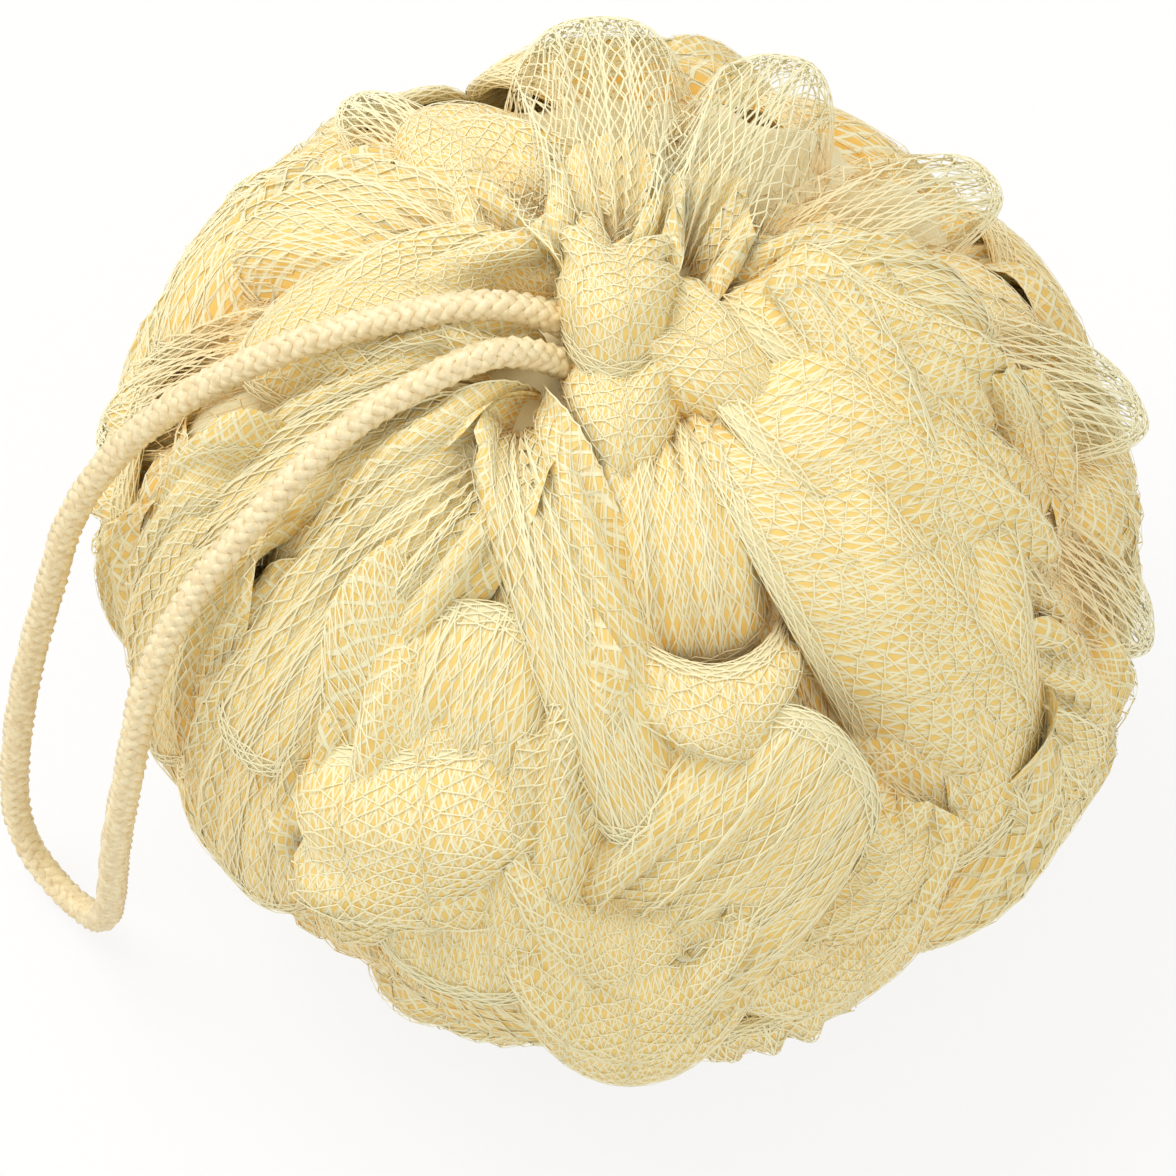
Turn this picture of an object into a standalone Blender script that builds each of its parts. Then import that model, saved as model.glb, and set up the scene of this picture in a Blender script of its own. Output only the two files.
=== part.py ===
"""Mesh bath pouf: a tube of soft net gathered into ruffled lobes, tied at its middle, with a cord loop.

Metres, +Z up. The gather's axis is Z, the pouf stands on z = 0, and the front is at -Y.
A place on the ball is given by its azimuth (0 at +X, 270 at the front), its latitude (90 at the
top of the gather) and its reach, the share of the ball's radius at that place.
"""

import math
from collections import namedtuple

import bmesh
import bpy
import numpy as np

# The ball that the lobes fill, and how far its underside is pressed flat.
BALL_RADIUS = 0.065
BALL_HALF_HEIGHT = 0.056
PRESSED = 0.001
CENTRE_Z = BALL_HALF_HEIGHT - PRESSED

# The packed middle of the gather, which the lobes grow from, and how deep under the ball it lies.
LOBE_DEPTH = 0.0145
POLE_DEPTH = 0.0130
CORE_RADIUS = BALL_RADIUS - LOBE_DEPTH
CORE_HALF_HEIGHT = BALL_HALF_HEIGHT - POLE_DEPTH
CORE_PLEATS = 18
PLEAT_DEPTH = 0.0012
ROOT_DEPTH = 0.86
ROOT_SPREAD = 0.3

# The net, as two layers pressed together, and how finely its solid is resolved.
NET_THICKNESS = 0.0017
NET_VOXEL = 0.0008
NET_SMOOTHING = 6
NET_TRIANGLES = 10800
RIM_FULLNESS = 2.8
SIDE_SINK = 0.0065
SIDE_SHARPNESS = 5.0
SIDE_DROP = 0.05
TIP_SINK = 0.0030
TIP_FROM = 0.80
GATHER = 0.0011
GATHERS = 3.5

# The neck that the net is tied into, in a pit that also holds the knot.
NECK_RADIUS = 0.0052
NECK_TOP = 0.0130
PIT_FLOOR = 0.0040

# The twine round the neck.
TWINE_DIAMETER = 0.0015
TWINE_TURNS = 3
TWINE_PITCH = 0.0021

# The cord and the knot that joins its ends.
CORD_DIAMETER = 0.0040
KNOT_RING = 0.0046
KNOT_COIL = 0.00215
CORD_STEP = 0.0075
KNOT_RADIUS = KNOT_RING + KNOT_COIL + CORD_DIAMETER / 2
KNOT_HEIGHT = 2 * KNOT_COIL + CORD_DIAMETER
LOOP_START = (-0.0014, 0.0024)
LOOP_END = (-0.0014, -0.0024)

GAP = 0.0003
MERGE = 0.00002
TRIM = 0.0004

Lobe = namedtuple("Lobe", "name rim shoulder spread root")

# Each lobe: three places on its rim, the place it passes half way, how wide it is there as a share
# of its rim, and the azimuth and latitude of its root on the core.
LOBES = [
    Lobe("back_fan", [(114, 46, 0.97), (93, 25, 1.06), (74, 46, 0.97)], (93, 66, 0.96), 0.6, (93, 72)),
    Lobe("back_right_fan", [(82, 60, 0.98), (68, 34, 1.05), (48, 46, 0.97)], (64, 68, 0.97), 0.6, (64, 72)),
    Lobe("right_back_loop", [(52, 40, 0.94), (38, 27, 1.05), (25, 44, 0.95)], (37, 58, 0.9), 0.7, (37, 60)),
    Lobe("right_upper", [(30, 60, 0.96), (8, 38, 1.0), (348, 52, 0.95)], (8, 66, 0.98), 0.6, (8, 72)),
    Lobe("right_loop", [(24, 42, 0.93), (9, 17, 1.06), (356, 30, 0.94)], (10, 50, 0.88), 0.7, (10, 52)),
    Lobe("right_low_loop", [(359, 28, 0.93), (350, 1, 1.04), (339, 18, 0.93)], (349, 36, 0.87), 0.7, (349, 38)),
    Lobe("right_side", [(343, 20, 0.91), (333, 0, 0.93), (321, 12, 0.90)], (333, 32, 0.9), 0.7, (333, 36)),
    Lobe("long_sweep", [(316, 54, 0.93), (322, 36, 1.01), (346, 27, 0.95)], (344, 60, 0.98), 0.55, (350, 72)),
    Lobe("side_sweep", [(309, 60, 0.93), (304, 38, 1.0), (306, 13, 0.95)], (324, 38, 0.93), 0.7, (332, 40)),
    Lobe("middle_strip", [(262, 38, 0.97), (272, 28, 1.02), (281, 39, 0.97)], (246, 63, 1.01), 0.75, (215, 72)),
    Lobe("inner_fan", [(264, 61, 0.87), (280, 49, 0.9), (302, 55, 0.88)], (286, 73, 0.92), 0.6, (300, 72)),
    Lobe("middle_cup", [(267, 57, 0.91), (284, 46, 0.99), (303, 47, 0.94)], (286, 32, 0.9), 0.7, (286, 26)),
    Lobe("front_left_cup", [(224, 29, 0.94), (246, 49, 1.03), (263, 37, 0.97)], (243, 22, 0.9), 0.7, (243, 14)),
    Lobe("front_left_lobe", [(229, 24, 0.95), (253, 4, 1.04), (271, 25, 0.96)], (252, 40, 0.88), 0.7, (252, 40)),
    Lobe("front_right_cup", [(271, 38, 0.94), (302, 31, 1.05), (291, 3, 0.98)], (275, 15, 0.93), 0.6, (270, 10)),
    Lobe("lowest_lobe", [(254, 6, 0.92), (271, -13, 1.02), (288, 2, 0.92)], (271, 22, 0.85), 0.7, (271, 22)),
    Lobe("low_right_lobe", [(322, 10, 0.90), (306, 0, 0.97), (289, 8, 0.92)], (307, 32, 0.87), 0.7, (307, 34)),
    Lobe("top_pouch", [(155, 81, 0.99), (255, 82, 1.03), (350, 83, 0.99)], (100, 84, 1.04), 0.7, (90, 72)),
    Lobe("neck_right_fold", [(20, 74, 0.93), (335, 66, 0.97), (300, 76, 0.93)], (0, 84, 0.97), 0.7, (60, 78)),
    Lobe("neck_front_fold", [(240, 74, 0.93), (268, 67, 0.96), (300, 74, 0.93)], (268, 83, 0.96), 0.7, (90, 82)),
    Lobe("left_arch", [(150, 54, 0.95), (172, 38, 0.98), (192, 52, 0.95)], (166, 66, 0.99), 0.6, (160, 72)),
    Lobe("left_back", [(130, 44, 0.95), (146, 27, 1.0), (162, 36, 0.95)], (143, 56, 0.93), 0.65, (142, 66)),
    Lobe("back_loop", [(133, 40, 0.92), (124, 22, 1.04), (115, 40, 0.93)], (124, 52, 0.86), 0.7, (124, 56)),
    Lobe("left_back_loop", [(149, 32, 0.92), (139, 14, 1.04), (131, 32, 0.92)], (140, 42, 0.86), 0.7, (140, 44)),
    Lobe("left_far_loop", [(178, 26, 0.93), (168, 4, 1.04), (157, 22, 0.93)], (168, 36, 0.88), 0.7, (168, 38)),
    Lobe("left_upper", [(182, 44, 0.95), (194, 22, 0.99), (208, 38, 0.95)], (196, 60, 0.96), 0.65, (196, 70)),
    Lobe("left_side", [(186, 14, 0.94), (199, -8, 0.99), (212, 8, 0.94)], (199, 30, 0.95), 0.7, (199, 34)),
    Lobe("left_front", [(206, 38, 0.95), (220, 18, 1.0), (238, 36, 0.95)], (224, 56, 0.97), 0.65, (226, 68)),
    Lobe("left_low", [(207, 10, 0.94), (221, -8, 1.0), (237, 6, 0.94)], (221, 26, 0.92), 0.7, (221, 28)),
    Lobe("small_arch", [(198, 54, 0.93), (214, 66, 0.99), (230, 57, 0.94)], (215, 45, 0.9), 0.7, (215, 40)),
    Lobe("low_left_fold", [(234, 4, 0.9), (246, -14, 0.98), (258, -2, 0.9)], (246, 16, 0.84), 0.7, (246, 16)),
    Lobe("low_right_fold", [(288, 0, 0.9), (301, -13, 0.94), (314, 0, 0.88)], (301, 16, 0.84), 0.7, (301, 16)),
    Lobe("right_under_sweep", [(330, 34, 0.9), (318, 16, 0.97), (300, 26, 0.92)], (322, 46, 0.9), 0.8, (324, 50)),
    Lobe("right_under_loop", [(2, 14, 0.9), (348, -8, 0.93), (334, 10, 0.9)], (349, 26, 0.9), 0.8, (349, 30)),
    Lobe("low_front_fold", [(272, -8, 0.9), (286, -26, 0.97), (300, -6, 0.9)], (286, 4, 0.88), 0.8, (286, 6)),
    Lobe("low_left_tuck", [(232, -4, 0.88), (243, -22, 0.95), (256, -8, 0.88)], (243, 6, 0.86), 0.8, (243, 8)),
    Lobe("inner_shade", [(262, 40, 0.84), (290, 22, 0.92), (312, 42, 0.86)], (290, 56, 0.84), 0.9, (290, 60)),
    Lobe("right_low_fold", [(314, 6, 0.87), (327, -11, 0.88), (341, 2, 0.87)], (327, 18, 0.86), 0.7, (327, 18)),
]

# The lobes that the rest of the ball is ruffled with, spaced evenly over it below a latitude that
# depends on the side, each turned, shifted and sized at random from one seed.
SCATTER = 120
SCATTER_SEED = 11
SCATTER_TOP_BACK = 26
SCATTER_TOP_FRONT = -6
SCATTER_FOOT = -74
SCATTER_HALF_WIDTH = (13, 18)
SCATTER_LENGTH = (18, 27)
SCATTER_REACH = (0.93, 1.02)

# Two broad lobes cross under the ball, and the pouf stands on them.
FOOT_LOBES = [
    Lobe("foot_front", [(225, -70, 0.98), (262, -62, 1.0), (310, -70, 0.98)], (90, -88, 1.03), 0.8, (90, -72)),
    Lobe("foot_back", [(45, -70, 0.98), (80, -64, 1.0), (130, -70, 0.98)], (270, -88, 1.03), 0.8, (270, -72)),
]

# The cord's route from the knot over the left side to the floor and back, in parts of the ball:
# 65 across are its radius and 56 up are its half height.
CORD_ROUTE = [
    (-1.8, 2.3, 86.0),
    (-2.8, 2.0, 96.0),
    (-6.5, 1.3, 106.0),
    (-15.0, 0.3, 112.2),
    (-28.0, 0.0, 109.0),
    (-40.0, -0.7, 103.0),
    (-50.6, -1.8, 94.6),
    (-59.2, -3.1, 84.0),
    (-65.4, -4.8, 71.5),
    (-69.0, -7.0, 57.5),
    (-72.8, -9.6, 41.0),
    (-75.4, -12.0, 25.0),
    (-76.4, -14.0, 12.5),
    (-75.2, -16.6, 5.2),
    (-71.8, -20.6, 2.5),
    (-67.4, -25.6, 4.2),
    (-64.6, -29.4, 11.5),
    (-62.8, -32.4, 25.0),
    (-61.4, -34.6, 40.0),
    (-59.8, -35.4, 53.0),
    (-57.8, -34.0, 65.0),
    (-55.4, -30.4, 77.0),
    (-50.0, -25.6, 89.0),
    (-41.4, -19.6, 99.0),
    (-32.0, -13.0, 106.0),
    (-22.0, -8.6, 110.6),
    (-13.6, -5.6, 111.6),
    (-6.4, -3.6, 105.0),
    (-2.8, -2.7, 95.0),
    (-1.8, -2.4, 86.0),
]


def ellipsoid_place(azimuth, latitude, reach, radius, half_height):
    """A point on an ellipsoid round the ball's centre."""
    turn, rise = math.radians(azimuth), math.radians(latitude)
    way = np.array([math.cos(rise) * math.cos(turn), math.cos(rise) * math.sin(turn), math.sin(rise)])
    size = reach / math.hypot(math.hypot(way[0], way[1]) / radius, way[2] / half_height)
    return way * size + np.array([0.0, 0.0, CENTRE_Z])


def on_ball(azimuth, latitude, reach):
    return ellipsoid_place(azimuth, latitude, reach, BALL_RADIUS, BALL_HALF_HEIGHT)


def in_core(azimuth, latitude):
    return ellipsoid_place(azimuth, latitude, ROOT_DEPTH, CORE_RADIUS, CORE_HALF_HEIGHT)


def smooth_lobe(lobe, across, along):
    """Points of a lobe without its gathers: across runs along the rim, along from the root to the rim."""
    s, t = across[:, None], along[:, None]
    first, crown, last = (on_ball(*place) for place in lobe.rim)
    edge = np.abs(2 * s - 1)
    bulge = crown - (first + last) / 2
    rim = first + s * (last - first) + (1 - edge**RIM_FULLNESS) * bulge
    middle = on_ball(*lobe.shoulder) + lobe.spread * (rim - crown)
    start = in_core(*lobe.root) + ROOT_SPREAD * (rim - crown)
    pull = 2 * middle - (start + rim) / 2
    flat = (1 - t) ** 2 * start + 2 * t * (1 - t) * pull + t**2 * rim
    sink = SIDE_SINK * t * edge**SIDE_SHARPNESS
    sink = sink + TIP_SINK * (np.maximum(t - TIP_FROM, 0.0) / (1 - TIP_FROM)) ** 2
    inward = np.array([0.0, 0.0, CENTRE_Z]) - flat
    return flat + sink * inward / np.linalg.norm(inward, axis=1)[:, None]


def lobe_points(lobe, across, along):
    """Points of a lobe's middle surface, with its gathers, and flat where it meets the floor."""
    small = 1e-3
    sideways = smooth_lobe(lobe, across + small, along) - smooth_lobe(lobe, across - small, along)
    outward = smooth_lobe(lobe, across, along + small) - smooth_lobe(lobe, across, along - small)
    normal = np.cross(sideways, outward)
    normal /= np.linalg.norm(normal, axis=1)[:, None]
    phase = math.radians(lobe.rim[1][0])
    wave = GATHER * np.sin(math.pi * along) * np.sin(2 * math.pi * GATHERS * across + phase)
    points = smooth_lobe(lobe, across, along) + wave[:, None] * normal
    points[:, 2] = np.maximum(points[:, 2], NET_THICKNESS / 2 - TRIM)
    return points


def shifted(azimuth, latitude, east, north):
    """A place moved by so many degrees of arc, kept off the poles."""
    up = min(max(latitude + north, -84.0), 84.0)
    return azimuth + east / math.cos(math.radians(min(max(latitude, -70.0), 70.0))), up


def lobe_at(name, azimuth, latitude, turn, half_width, length, reach):
    """A lobe by the middle of its rim and the way it flows: 0 is down, 90 is towards the east."""
    flow = (math.sin(math.radians(turn)), -math.cos(math.radians(turn)))
    side = (-flow[1], flow[0])

    def place(forward, sideways):
        east = forward * flow[0] + sideways * side[0]
        north = forward * flow[1] + sideways * side[1]
        return shifted(azimuth, latitude, east, north)

    rim = [
        (*place(-0.25 * length, -half_width), reach - SIDE_DROP),
        (*place(0.35 * length, 0.0), reach),
        (*place(-0.25 * length, half_width), reach - SIDE_DROP),
    ]
    return Lobe(name, rim, (*place(-0.7 * length, 0.0), reach - SIDE_DROP), 0.75, place(-length, 0.0))


def scattered_lobes():
    """The lobes of the back, the sides and the underside."""
    chance = np.random.default_rng(SCATTER_SEED)
    lobes = []
    for i in range(SCATTER):
        latitude = math.degrees(math.asin(1 - 2 * (i + 0.5) / SCATTER))
        azimuth = (i * 180 * (3 - math.sqrt(5))) % 360
        turn, width, length, reach = chance.random(4)
        front = (1 - math.sin(math.radians(azimuth))) / 2
        top = SCATTER_TOP_BACK + (SCATTER_TOP_FRONT - SCATTER_TOP_BACK) * front
        if not SCATTER_FOOT < latitude < top:
            continue
        lobes.append(
            lobe_at(
                f"ruffle_{i}",
                azimuth,
                latitude,
                360 * turn,
                np.interp(width, (0, 1), SCATTER_HALF_WIDTH),
                np.interp(length, (0, 1), SCATTER_LENGTH),
                np.interp(reach, (0, 1), SCATTER_REACH),
            )
        )
    return lobes


def new_collection(name):
    collection = bpy.data.collections.new(name)
    bpy.context.scene.collection.children.link(collection)
    return collection


def add_object(name, data, collection):
    made = bpy.data.objects.new(name, data)
    collection.objects.link(made)
    return made


def as_mesh(source):
    """The source's evaluated shape as a mesh with its seams closed."""
    bpy.context.view_layer.update()
    seen = source.evaluated_get(bpy.context.evaluated_depsgraph_get())
    data = bpy.data.meshes.new_from_object(seen)
    shape = bmesh.new()
    shape.from_mesh(data)
    bmesh.ops.remove_doubles(shape, verts=shape.verts, dist=MERGE)
    bmesh.ops.recalc_face_normals(shape, faces=shape.faces)
    shape.to_mesh(data)
    shape.free()
    return data


def keep_outer_surface(data):
    """Fills the sealed pockets that crossing lobes leave, by removing every surface but the largest."""
    shape = bmesh.new()
    shape.from_mesh(data)
    left = set(shape.verts)
    islands = []
    while left:
        todo = [left.pop()]
        island = []
        while todo:
            vert = todo.pop()
            island.append(vert)
            for edge in vert.link_edges:
                other = edge.other_vert(vert)
                if other in left:
                    left.remove(other)
                    todo.append(other)
        islands.append(island)
    islands.sort(key=len)
    for island in islands[:-1]:
        bmesh.ops.delete(shape, geom=island, context="VERTS")
    shape.to_mesh(data)
    shape.free()


def make_lobe(lobe, columns, rows, collection):
    """One lobe: a grid laid on its surface, with the thickness of two layers of net."""
    shape = bmesh.new()
    bmesh.ops.create_grid(shape, x_segments=columns, y_segments=rows, size=0.5)
    places = np.array([vert.co for vert in shape.verts]) + 0.5
    for vert, point in zip(shape.verts, lobe_points(lobe, places[:, 0], places[:, 1])):
        vert.co = point
    data = bpy.data.meshes.new(lobe.name)
    shape.to_mesh(data)
    shape.free()
    made = add_object("lobe_" + lobe.name, data, collection)
    wall = made.modifiers.new("wall", "SOLIDIFY")
    wall.thickness = NET_THICKNESS
    wall.offset = 0.0
    made.data = as_mesh(made)
    made.modifiers.clear()
    return made


def make_core(collection):
    """The packed gathers in the middle, an upright ball with shallow pleats."""
    shape = bmesh.new()
    bmesh.ops.create_uvsphere(shape, u_segments=2 * CORE_PLEATS, v_segments=14, radius=1.0)
    for vert in shape.verts:
        across = math.hypot(vert.co.x, vert.co.y)
        turn = math.atan2(vert.co.y, vert.co.x)
        radius = CORE_RADIUS + PLEAT_DEPTH * across * math.cos(CORE_PLEATS * turn)
        vert.co = (
            radius * vert.co.x,
            radius * vert.co.y,
            CENTRE_Z + CORE_HALF_HEIGHT * vert.co.z,
        )
    data = bpy.data.meshes.new("netting")
    shape.to_mesh(data)
    shape.free()
    return add_object("netting", data, collection)


def make_pit_cutter(collection):
    """The room round the tied neck and the knot on it."""
    floor, neck = CENTRE_Z + PIT_FLOOR, CENTRE_Z + NECK_TOP
    wall = KNOT_RADIUS + GAP
    top = neck + GAP + KNOT_HEIGHT + CORD_DIAMETER / 2
    profile = [
        (0.0, top),
        (wall, top),
        (wall, floor),
        (NECK_RADIUS, floor),
        (NECK_RADIUS, neck - NECK_RADIUS / 3),
        (NECK_RADIUS * 0.75, neck - NECK_RADIUS / 12),
        (0.0, neck),
    ]
    shape = bmesh.new()
    verts = [shape.verts.new((radius, 0.0, height)) for radius, height in profile]
    for start, end in zip(verts, verts[1:]):
        shape.edges.new((start, end))
    data = bpy.data.meshes.new("pit_cutter")
    shape.to_mesh(data)
    shape.free()
    made = add_object("pit_cutter", data, collection)
    turn = made.modifiers.new("turn", "SCREW")
    turn.steps = turn.render_steps = 24
    turn.use_merge_vertices = True
    turn.merge_threshold = MERGE
    made.data = as_mesh(made)
    made.modifiers.clear()
    return made


def smooth_route(points, step):
    """Points a step apart on a smooth curve through the given points."""
    points = np.array(points, float)
    ends = np.vstack([2 * points[0] - points[1], points, 2 * points[-1] - points[-2]])
    fine = []
    for before, start, end, after in zip(ends, ends[1:], ends[2:], ends[3:]):
        for t in np.linspace(0.0, 1.0, 12, endpoint=False):
            fine.append(
                0.5
                * (
                    2 * start
                    + (end - before) * t
                    + (2 * before - 5 * start + 4 * end - after) * t**2
                    + (3 * start - before - 3 * end + after) * t**3
                )
            )
    fine = np.vstack(fine + [points[-1]])
    along = np.concatenate([[0.0], np.cumsum(np.linalg.norm(np.diff(fine, axis=0), axis=1))])
    places = np.linspace(0.0, along[-1], round(along[-1] / step) + 1)
    return np.stack([np.interp(places, along, fine[:, k]) for k in range(3)], axis=1)


def make_tube(name, points, diameter, closed, collection):
    """A round tube along the points, with filled ends unless it is closed on itself."""
    data = bpy.data.curves.new(name, "CURVE")
    data.dimensions = "3D"
    data.bevel_depth = diameter / 2
    data.bevel_resolution = 2
    data.use_fill_caps = not closed
    spline = data.splines.new("POLY")
    spline.points.add(len(points) - 1)
    for place, point in zip(spline.points, points):
        place.co = (*point, 1.0)
    spline.use_cyclic_u = closed
    return add_object(name, data, collection)


def knot_middle():
    return CENTRE_Z + NECK_TOP + GAP + KNOT_HEIGHT / 2


def cord_points():
    """The cord's route, with its ends just above the knot."""
    bottom = knot_middle() + KNOT_HEIGHT / 2 + GAP
    route = np.array(CORD_ROUTE) * (BALL_RADIUS / 65, BALL_RADIUS / 65, BALL_HALF_HEIGHT / 56)
    return smooth_route([(*LOOP_START, bottom), *route, (*LOOP_END, bottom)], CORD_STEP)


def knot_points():
    """The cord's knot, drawn up tight: a trefoil resting just above the neck."""
    height = knot_middle()
    points = []
    for turn in np.linspace(0.0, 2 * math.pi, 40, endpoint=False):
        ring = KNOT_RING + KNOT_COIL * math.cos(3 * turn)
        rise = KNOT_COIL * math.sin(3 * turn)
        points.append((ring * math.cos(2 * turn), ring * math.sin(2 * turn), height + rise))
    return points


def twine_points():
    """The turns of twine that bind the neck."""
    ring = NECK_RADIUS + GAP + TWINE_DIAMETER / 2
    low = CENTRE_Z + PIT_FLOOR + GAP + TWINE_DIAMETER / 2
    points = []
    for turn in np.linspace(0.0, TWINE_TURNS, 14 * TWINE_TURNS + 1):
        angle = 2 * math.pi * turn
        points.append((ring * math.cos(angle), ring * math.sin(angle), low + TWINE_PITCH * turn))
    return points


def cut_away(target, cutter):
    step = target.modifiers.new("less_" + cutter.name, "BOOLEAN")
    step.operation = "DIFFERENCE"
    step.solver = "EXACT"
    step.object = cutter


def make_channel_cutter(collection):
    """The room that the cord needs along its route, down into the pit."""
    route = [(*LOOP_START, knot_middle()), *cord_points(), (*LOOP_END, knot_middle())]
    channel = make_tube("cord_channel", route, CORD_DIAMETER + 2 * GAP, False, collection)
    made = add_object("cord_channel_cutter", as_mesh(channel), collection)
    bpy.data.objects.remove(channel)
    return made


def make_floor_cutter(collection):
    """Everything below the surface that the pouf stands on."""
    bpy.ops.mesh.primitive_cube_add(size=1.0, location=(0.0, 0.0, -0.05))
    made = bpy.context.active_object
    made.name = "floor_cutter"
    made.scale = (4 * BALL_RADIUS, 4 * BALL_RADIUS, 0.1)
    for old in made.users_collection:
        old.objects.unlink(made)
    collection.objects.link(made)
    return made


def melt_together(target, pieces):
    """One closed skin over the target and the pieces, with a set number of triangles."""
    shape = bmesh.new()
    shape.from_mesh(target.data)
    for piece in pieces:
        shape.from_mesh(piece.data)
        bpy.data.objects.remove(piece)
    shape.to_mesh(target.data)
    shape.free()
    skin = target.modifiers.new("skin", "REMESH")
    skin.mode = "VOXEL"
    skin.voxel_size = NET_VOXEL
    soft = target.modifiers.new("soft", "SMOOTH")
    soft.factor = 0.5
    soft.iterations = NET_SMOOTHING
    data = as_mesh(target)
    target.modifiers.clear()
    keep_outer_surface(data)
    target.data = data
    fewer = target.modifiers.new("fewer", "DECIMATE")
    fewer.ratio = NET_TRIANGLES / (2 * len(data.polygons))
    fewer.use_collapse_triangulate = True
    data = as_mesh(target)
    target.modifiers.clear()
    target.data = data


def make_netting(parts, cutters):
    """All the net as one solid: the core and every lobe, less the pit and the cord's channel."""
    lobes = [make_lobe(lobe, 10, 8, cutters) for lobe in LOBES + scattered_lobes() + FOOT_LOBES]
    netting = make_core(parts)
    melt_together(netting, lobes)
    cut_away(netting, make_floor_cutter(cutters))
    cut_away(netting, make_pit_cutter(cutters))
    cut_away(netting, make_channel_cutter(cutters))
    data = as_mesh(netting)
    keep_outer_surface(data)
    netting.modifiers.clear()
    netting.data = data
    for made in cutters.objects:
        made.hide_render = True
        made.display_type = "WIRE"
    return netting


def finish(name, colour, roughness):
    """A plain cloth material."""
    material = bpy.data.materials.new(name)
    material.use_nodes = True
    shader = material.node_tree.nodes["Principled BSDF"]
    shader.inputs["Base Color"].default_value = (*colour, 1.0)
    shader.inputs["Roughness"].default_value = roughness
    shader.inputs["Metallic"].default_value = 0.0
    material.diffuse_color = (*colour, 1.0)
    return material


def main():
    for old in list(bpy.data.objects):
        bpy.data.objects.remove(old)
    parts = new_collection("mesh_bath_pouf")
    cutters = new_collection("pouf_cutters")
    netting = make_netting(parts, cutters)
    netting.data.materials.append(finish("cream_net", (0.90, 0.83, 0.56), 0.55))
    cord = make_tube("hanging_cord", cord_points(), CORD_DIAMETER, False, parts)
    cord.data.materials.append(finish("beige_cord", (0.80, 0.68, 0.46), 0.45))
    knot = make_tube("cord_knot", knot_points(), CORD_DIAMETER, True, parts)
    knot.data.materials.append(cord.data.materials[0])
    twine = make_tube("binding_twine", twine_points(), TWINE_DIAMETER, False, parts)
    twine.data.materials.append(finish("white_twine", (0.86, 0.84, 0.78), 0.6))


main()
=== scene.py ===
"""Mesh bath pouf: knitted net gathered into ruffled lobes round a tied middle, with a braided cord loop.

Metres, +Z up, the front at -Y. A place on the ball is its azimuth (270 at the front), its latitude
(90 at the top of the gather) and its reach, the share of the ball's radius at that place.
"""

import math
from collections import namedtuple

import bmesh
import bpy
import numpy as np
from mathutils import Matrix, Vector


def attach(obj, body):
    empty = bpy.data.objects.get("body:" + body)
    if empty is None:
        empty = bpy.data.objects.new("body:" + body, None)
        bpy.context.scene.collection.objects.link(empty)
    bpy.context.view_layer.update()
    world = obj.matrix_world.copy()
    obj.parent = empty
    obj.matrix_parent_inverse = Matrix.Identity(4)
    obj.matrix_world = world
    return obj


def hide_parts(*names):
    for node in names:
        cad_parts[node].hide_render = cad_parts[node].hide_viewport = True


bl_info = {
    "name": "Mesh Bath Pouf",
    "version": (1, 0, 0),
    "blender": (4, 5, 0),
    "location": "3D View > Sidebar > Pouf",
    "description": "Dresses a bath pouf with its net, inner gathers, braided cord and studio",
    "category": "Add Mesh",
}

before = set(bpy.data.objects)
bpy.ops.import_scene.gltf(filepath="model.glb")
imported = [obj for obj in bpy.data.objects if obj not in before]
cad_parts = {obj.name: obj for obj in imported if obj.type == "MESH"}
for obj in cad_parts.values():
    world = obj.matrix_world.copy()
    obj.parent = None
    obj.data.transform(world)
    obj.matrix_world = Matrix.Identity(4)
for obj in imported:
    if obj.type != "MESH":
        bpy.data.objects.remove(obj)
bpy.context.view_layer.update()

# The ball, and its core, which stands a little prouder here than in the solids.
BALL_RADIUS = 0.065
BALL_HALF_HEIGHT = 0.056
CENTRE = np.array([0.0, 0.0, 0.055])
CORE_RADIUS = 0.0505
CORE_HALF_HEIGHT = 0.043
CORE_FILLING = 0.006
CORE_PLEATS = 22
CORE_PLEAT_DEPTH = 0.03
CORE_CELLS = (190, 36)

# How a lobe grows from its root, how full its rim is, and how far its sides and its tip sink in.
ROOT_DEPTH = 0.86
ROOT_SPREAD = 0.3
RIM_FULLNESS = 2.8
EVEN_FULLNESS = 2.0
SIDE_SINK = 0.0065
SIDE_SHARPNESS = 5.0
TIP_SINK = 0.0030
TIP_FROM = 0.80

# The creases in a lobe: their depth, how many there are, and the width of rim that gets the full depth.
CREASE = 0.0016
CREASES = 3.2
CREASED_WIDTH = 0.04

# The rolled rim: the roll's diameter, and the band of closer knitted threads on it.
ROLL = 0.0018
RIM_BAND = 0.0014
RIM_THREADS = 12
RIM_CELL = 0.0028
RIM_LIFT = 0.0001

# The net: how far its threads zigzag, the streaks that they bunch into, and how open it is.
ZIGZAG = 0.42
STREAK = 0.011
OPEN_SHARE = 0.6
STRIP_WIDTH = 0.3

# The layers below the threads: how far in they lie, their drawn cells, and their mesh.
LINER_INSET = 0.0003
DRAWN_CELL = (0.0016, 0.0040)
LINER_COLUMNS = 20
LINER_ROWS = 16
LINER_WIDTH = 0.9

# The least height of the net above the floor.
FLOOR_CLEARANCE = 0.0002

YARNS_EACH_WAY = 4
YARN_STEP = 0.0006
ROUTE_STEP = 0.002

# The frame's width, and the ball's middle in it, in pixels.
FRAME = 1176
BALL_IN_FRAME = (620, 545)
SENSOR = 36

Lobe = namedtuple("Lobe", "name rim shoulder spread root")

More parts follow.
